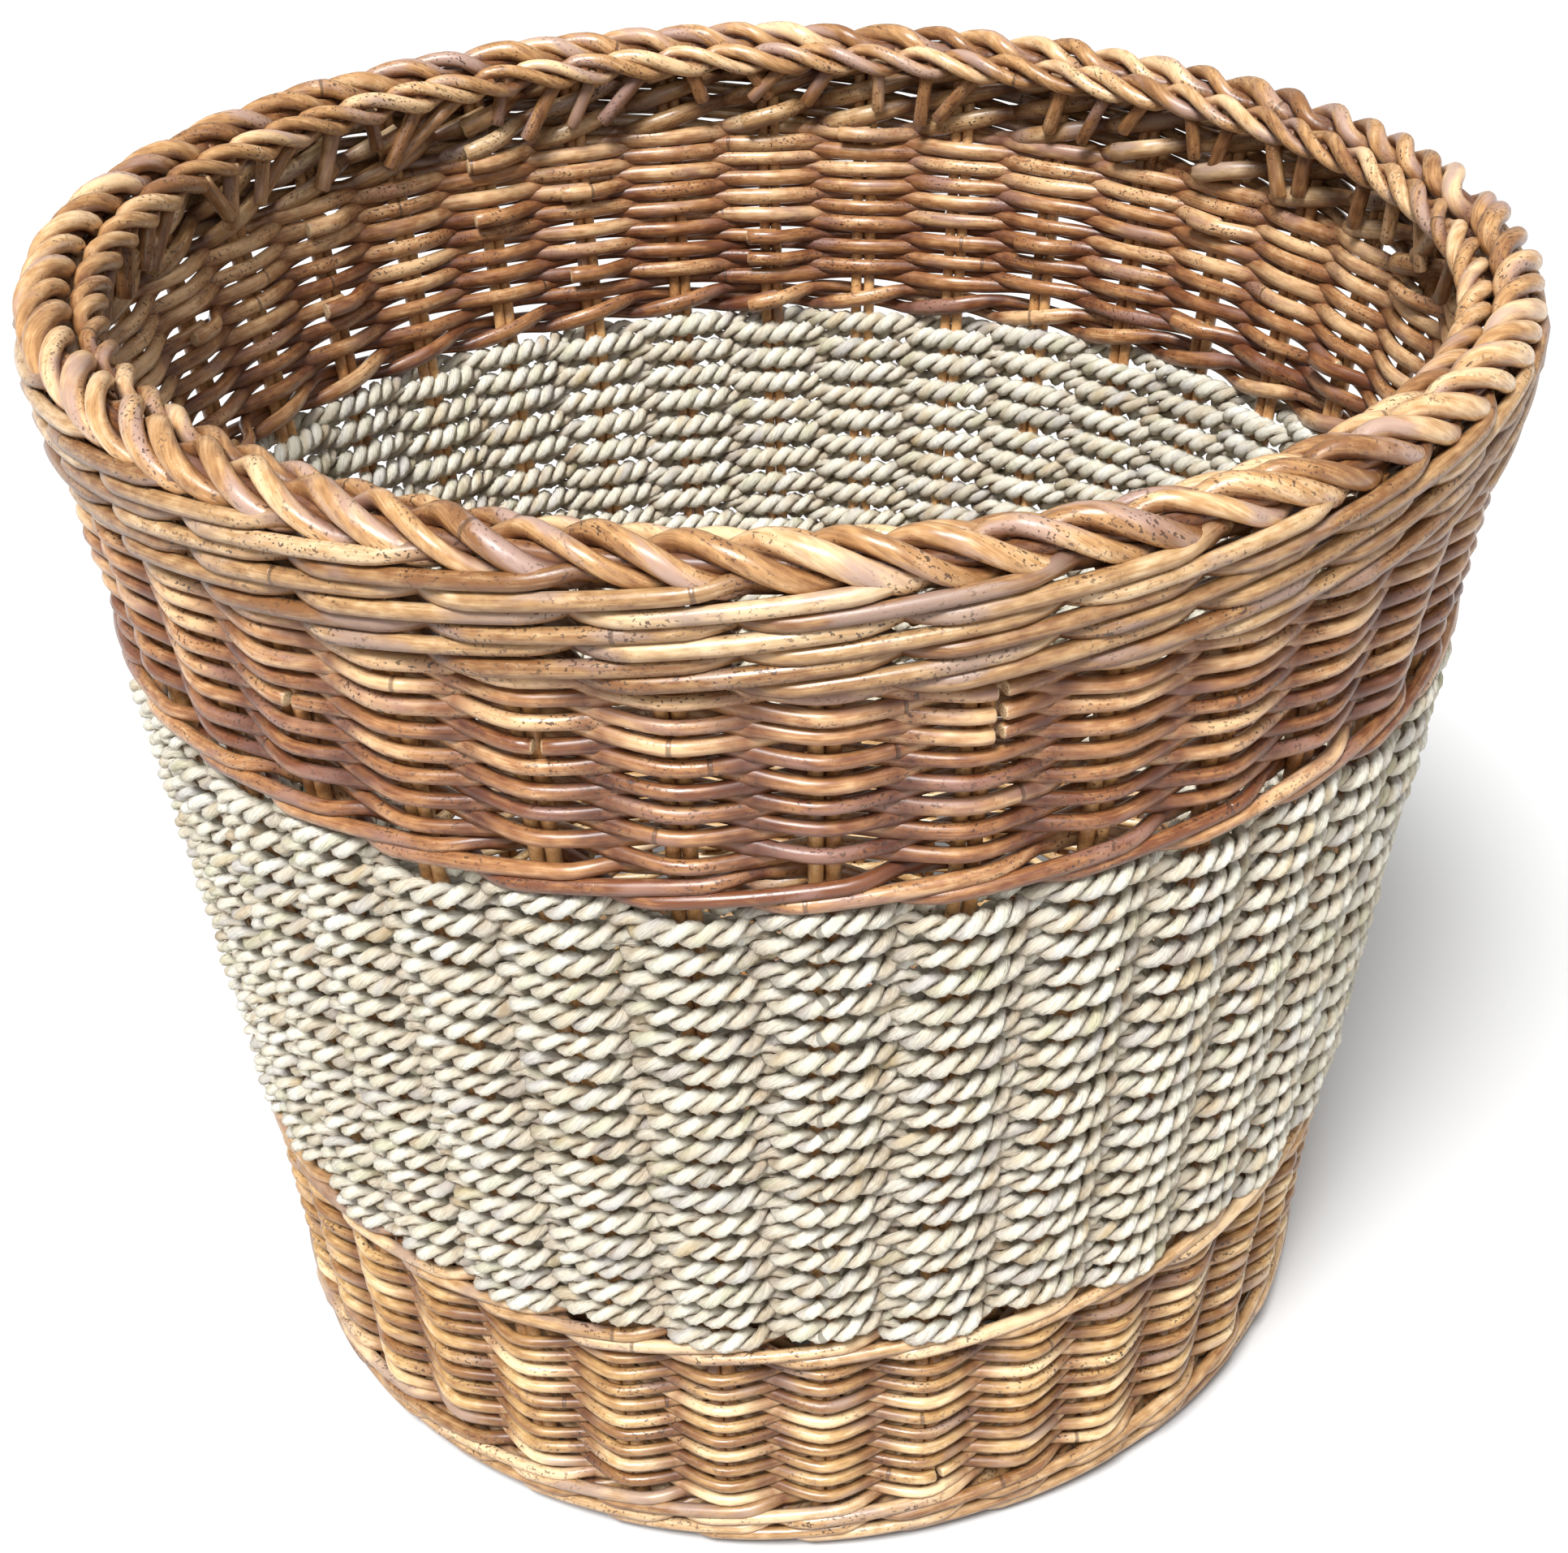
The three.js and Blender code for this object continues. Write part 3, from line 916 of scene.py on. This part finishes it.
rounds_per_piece = math.ceil(ROPE_ROUNDS / ROPE_PIECES)
for number in range(ROPE_PIECES):
    ropes = RodBundle(71 + number)
    for row in range(number * rounds_per_piece, min(ROPE_ROUNDS, (number + 1) * rounds_per_piece)):
        rope_round(ropes, rope_low.z + (row + 0.5) * rope_pitch, 1 if row % 2 else -1)
    rope = ropes.build(f"seagrass_rope_{number + 1}", rope_finish)
    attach(rope, "root")
    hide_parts("seagrass_weave")


# ---------------------------------------------------------------------------------------------- middle wale
# A second single round of wale, in redder rattan, locks the top edge of the rope band.
# It is laid as the lower one is.
MIDDLE_TONE = 0.3

upper_finish = rattan_finish(
    "rattan_upper",
    pale=(0.72, 0.47, 0.25),
    warm=(0.40, 0.19, 0.075),
    deep=(0.175, 0.058, 0.022),
    mauve=(0.29, 0.155, 0.12),
    mauve_share=0.4,
    specks=1.05,
    roughness=0.32,
)
wale_low, wale_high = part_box("middle_wale")
middle_wale_height = (wale_low.z + wale_high.z) / 2
middle_heights = (middle_wale_height, middle_wale_height)
band_wale("middle_wale", "middle_wale_rods", 1, 81, upper_finish, middle_heights, MIDDLE_TONE)


# ---------------------------------------------------------------------------------------------- upper weave
# Sixteen rounds of plain weave in darker rattan. The lowest rounds are beaten less tightly, so that
# the stakes and some light show between them.
UPPER_ROUNDS = 16
LOOSENESS = 0.14
UPPER_RADIUS = 0.00255
UPPER_TALL = 1.35
UPPER_SWING = 0.0047
UPPER_SWAY = 0.0005
LOWEST_TONE = 0.30
TONE_FALL = 0.45

upper_low, upper_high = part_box("upper_weave")
spacing = 1 + LOOSENESS * np.linspace(1, -1, UPPER_ROUNDS)
spacing *= (upper_high.z - upper_low.z) / spacing.sum()
upper_rods = RodBundle(91)
for number, height in enumerate(upper_low.z + np.cumsum(spacing) - spacing / 2):
    tone = LOWEST_TONE - TONE_FALL * number / UPPER_ROUNDS
    side = 1 if number % 2 else -1
    weave_round(upper_rods, height, side, UPPER_RADIUS, UPPER_SWING, UPPER_SWAY, UPPER_TALL, tone)
upper_weave = upper_rods.build("upper_weave_rods", upper_finish)
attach(upper_weave, "root")
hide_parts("upper_weave")


# ---------------------------------------------------------------------------------------------- top wale
# Three rounds of wale in thicker rods bind the stakes together under the border. The uppermost
# strokes run up beneath the roll.
TOP_ROUNDS = 3
TOP_RADIUS = 0.00285
TOP_RISE = 0.0058
TOP_TONE = 0.1
TOP_FIRST_LIFT = 0.0056
TOP_LAST_LIFT = 0.0010

top_low, top_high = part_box("top_wale")
top_heights = (top_low.z + TOP_FIRST_LIFT, top_high.z + TOP_LAST_LIFT)
band_wale(
    "top_wale", "top_wale_rods", TOP_ROUNDS, 101, wale_finish, top_heights, TOP_TONE, TOP_RISE, TOP_RADIUS
)


# ---------------------------------------------------------------------------------------------- rolled border
# The stakes' own tops make the border: one thick stroke every five degrees comes over from the
# inside, lies across the top of the roll, runs down its outside and is held under the next strokes.
BORDER_STROKES = 72
STROKE_RADIUS = 0.0038
STROKE_ARC = math.radians(9.6)
STROKE_STEPS = 26
STROKE_SIDES = 12
ROLL_START = math.radians(152)
ROLL_END = math.radians(-62)
STROKE_FIRST = -0.34
STROKE_LAST = 1.32
THINNER_STROKE = 0.86
STROKE_KNUCKLE = 0.0011
STROKE_CORE = 0.0018
ROLL_SET_IN = 0.0024
ROLL_HALF_WIDTH = 0.0087
DEEP_UNDERSIDE_PAINTED_SHADE = 0.95
PAINTED_SHADE_FADE = 0.6

border_finish = rattan_finish(
    "rattan_border",
    pale=(0.80, 0.56, 0.32),
    warm=(0.51, 0.28, 0.115),
    deep=(0.25, 0.11, 0.04),
    mauve=(0.43, 0.29, 0.245),
    mauve_share=0.55,
    specks=1.25,
    roughness=0.32,
)
border_low, border_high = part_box("rolled_border")
roll_height = (border_low.z + border_high.z) / 2
roll_half = (border_high.z - border_low.z) / 2
roll_radius = RIM_RADIUS - ROLL_SET_IN - ROLL_HALF_WIDTH


def ring_place(angle, radius, height):
    return np.stack([radius * np.sin(angle), -radius * np.cos(angle), height], axis=1)


border_rods = RodBundle(111)
around = np.linspace(0, 2 * np.pi, 180, endpoint=False)
for inset, drop, core_radius in ((0.0, 0.0, 0.0030), (0.0016, 0.0064, 0.0027)):
    core = ring_place(around, roll_radius - inset, np.full(len(around), roll_height - drop))
    # Painted shade: the two core rods inside the roll are darkened almost all round.
    border_rods.add(core, core_radius, closed=True, tint=0.9, nook=0.9)
for number in range(BORDER_STROKES):
    draw = border_rods.draw
    thick = STROKE_RADIUS * draw.uniform(0.88, 1.12) * (1.0 if number % 2 else THINNER_STROKE)
    start = first_stake + number * 2 * math.pi / BORDER_STROKES + draw.normal(0, 0.009)
    t = np.linspace(STROKE_FIRST, STROKE_LAST, STROKE_STEPS)
    shown = smooth_step((t + 0.34) / 0.36) * (1 - smooth_step((t - 0.98) / 0.34))
    across = ROLL_START + (ROLL_END - ROLL_START) * t + draw.normal(0, 0.08)
    knuckle = STROKE_KNUCKLE * np.exp(-(((t - 0.14) / 0.16) ** 2))
    proud = 0.0002 + 0.0006 * (number % 2) + draw.normal(0, 0.0003)
    offset = STROKE_CORE + (roll_half - thick - STROKE_CORE + proud + knuckle) * shown
    angle = start + STROKE_ARC * t
    line = ring_place(angle, roll_radius + offset * np.cos(across), roll_height + offset * np.sin(across))
    taper = 1 - 0.12 * smooth_step((t - 0.5) / 0.8)
    outward = np.stack([np.sin(angle), -np.cos(angle), np.zeros(len(t))], axis=1)
    facing = outward * np.cos(across)[:, None] + np.array((0, 0, 1)) * np.sin(across)[:, None]
    # Painted shade: the stroke darkens towards its ends, where it goes in under the next strokes, and
    # strongly on the side turned into the roll.
    nook = np.clip(1 - shown, 0, 1) ** PAINTED_SHADE_FADE
    border_rods.add(line, thick * taper, STROKE_SIDES, up=facing, nook=nook, under=DEEP_UNDERSIDE_PAINTED_SHADE)
border = border_rods.build("rolled_border_rods", border_finish)
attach(border, "root")
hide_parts("rolled_border")


# ---------------------------------------------------------------------------------------------- inner braid
# Inside the roll the same rods turn back once more as a small follow-on braid, and their ends are cut
# off below it. The cut ends poke down over the wale, most of them slanting one way.
BRAID_RADIUS = 0.0030
BRAID_ARC = math.radians(8.6)
BRAID_START = math.radians(262)
BRAID_END = math.radians(46)
BRAID_SIDES = 10
BRAID_STEPS = 18
BRAID_LIFT = 0.0018
BRAID_CLEARANCE = 0.0009
BRAID_CORE = 0.0008
STUB_RADIUS = 0.0031
STUB_SIDES = 9
STUB_SKIPS = 0.08

braid_low, braid_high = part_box("inner_braid")
braid_height = (braid_low.z + braid_high.z) / 2 + BRAID_LIFT
braid_half = (braid_high.z - braid_low.z) / 2
braid_ring = roll_radius - ROLL_HALF_WIDTH + BRAID_CLEARANCE - braid_half
braid_rods = RodBundle(121)
for number in range(BORDER_STROKES):
    draw = braid_rods.draw
    thick = BRAID_RADIUS * draw.uniform(0.85, 1.08)
    start = first_stake + (number + 0.4) * 2 * math.pi / BORDER_STROKES + draw.normal(0, 0.006)
    t = np.linspace(-0.25, 1.25, BRAID_STEPS)
    across = BRAID_START + (BRAID_END - BRAID_START) * t
    shown = smooth_step((t + 0.25) / 0.3) * (1 - smooth_step((t - 0.95) / 0.3))
    offset = BRAID_CORE + (braid_half - thick + 0.0004) * shown
    angle = start + BRAID_ARC * t
    line = ring_place(angle, braid_ring + offset * np.cos(across), braid_height + offset * np.sin(across))
    outward = np.stack([np.sin(angle), -np.cos(angle), np.zeros(len(t))], axis=1)
    facing = outward * np.cos(across)[:, None] + np.array((0, 0, 1)) * np.sin(across)[:, None]
    # Painted shade: the stroke darkens towards its ends, where it goes in under the next strokes, and
    # strongly on the side turned into the roll.
    nook = np.clip(1 - shown, 0, 1) ** PAINTED_SHADE_FADE
    braid_rods.add(line, thick, BRAID_SIDES, up=facing, nook=nook, under=DEEP_UNDERSIDE_PAINTED_SHADE)
    if draw.uniform(0, 1) < STUB_SKIPS:
        continue
    slant = draw.normal(0.038, 0.04)
    length = draw.uniform(0.015, 0.026)
    t = np.linspace(0, 1, 6)
    angle = start + math.radians(1.0) + slant * t
    radius = braid_ring - 0.0002 + 0.0016 * t + draw.normal(0, 0.0007)
    height = braid_height - 0.0015 - length * t
    stub = ring_place(angle, radius, height)
    stub_radius = STUB_RADIUS * draw.uniform(0.85, 1.05)
    braid_rods.add(stub, stub_radius, STUB_SIDES, up=(math.sin(start), -math.cos(start), 0))
braid = braid_rods.build("inner_braid_rods", border_finish)
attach(braid, "root")
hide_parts("inner_braid")


# ---------------------------------------------------------------------------------------------- studio
# A plain pale floor under a white sky, one large soft light high up at the front left and a weak one
# at the front right. The camera stands in front, above the rim, and looks down at the basket.
FLOOR_SIZE = 12
FLOOR_SHADE = 0.64
SKY_STRENGTH = 0.42
KEY_STRENGTH = 4.95
FILL_STRENGTH = 0.3
CAMERA_PLACE = (0.0, -0.8159, 0.7113)
CAMERA_PITCH = 0.5566
CAMERA_YAW = 0.0409
CAMERA_ROLL = 0.0066
CAMERA_LENS = 56.31
CAMERA_SHIFT = -0.0621

bpy.ops.object.select_all(action="DESELECT")
bpy.ops.mesh.primitive_plane_add(size=FLOOR_SIZE, location=(0, 0, 0))
floor = bpy.context.active_object
floor.name = "floor"
floor_finish = Finish("floor_paint")
floor_finish.shader.inputs["Base Color"].default_value = (FLOOR_SHADE, FLOOR_SHADE, FLOOR_SHADE, 1)
floor_finish.shader.inputs["Roughness"].default_value = 0.9
floor.data.materials.append(floor_finish.material)

world = bpy.data.worlds.new("studio")
world.use_nodes = True
world.node_tree.nodes["Background"].inputs["Color"].default_value = (1, 1, 1, 1)
world.node_tree.nodes["Background"].inputs["Strength"].default_value = SKY_STRENGTH
bpy.context.scene.world = world
bpy.context.scene.view_settings.view_transform = "Standard"


def soft_light(name, direction, strength, spread):
    """A far lamp that shines along a direction; a wide spread gives soft shadows."""
    bpy.ops.object.light_add(type="SUN", location=(0, 0, 2))
    light = bpy.context.active_object
    light.name = name
    light.data.energy = strength
    light.data.angle = math.radians(spread)
    light.rotation_mode = "QUATERNION"
    light.rotation_quaternion = Vector(direction).to_track_quat("-Z", "Y")


soft_light("key_light", (0.19, 0.50, -0.83), KEY_STRENGTH, 20)
soft_light("fill_light", (-0.25, 0.9, -0.55), FILL_STRENGTH, 40)

bpy.ops.object.camera_add(location=CAMERA_PLACE)
camera = bpy.context.active_object
camera.name = "camera"
camera.data.sensor_width = 36
camera.data.lens = CAMERA_LENS
camera.data.shift_x = CAMERA_SHIFT
forward = Vector((
    math.sin(CAMERA_YAW) * math.cos(CAMERA_PITCH),
    math.cos(CAMERA_YAW) * math.cos(CAMERA_PITCH),
    -math.sin(CAMERA_PITCH),
))
level = forward.cross(Vector((0, 0, 1))).normalized()
upright = level.cross(forward)
right = level * math.cos(CAMERA_ROLL) + upright * math.sin(CAMERA_ROLL)
above = upright * math.cos(CAMERA_ROLL) - level * math.sin(CAMERA_ROLL)
camera.rotation_mode = "QUATERNION"
camera.rotation_quaternion = Matrix((right, above, -forward)).transposed().to_quaternion()
camera.data.clip_start = 0.01
bpy.context.scene.camera = camera
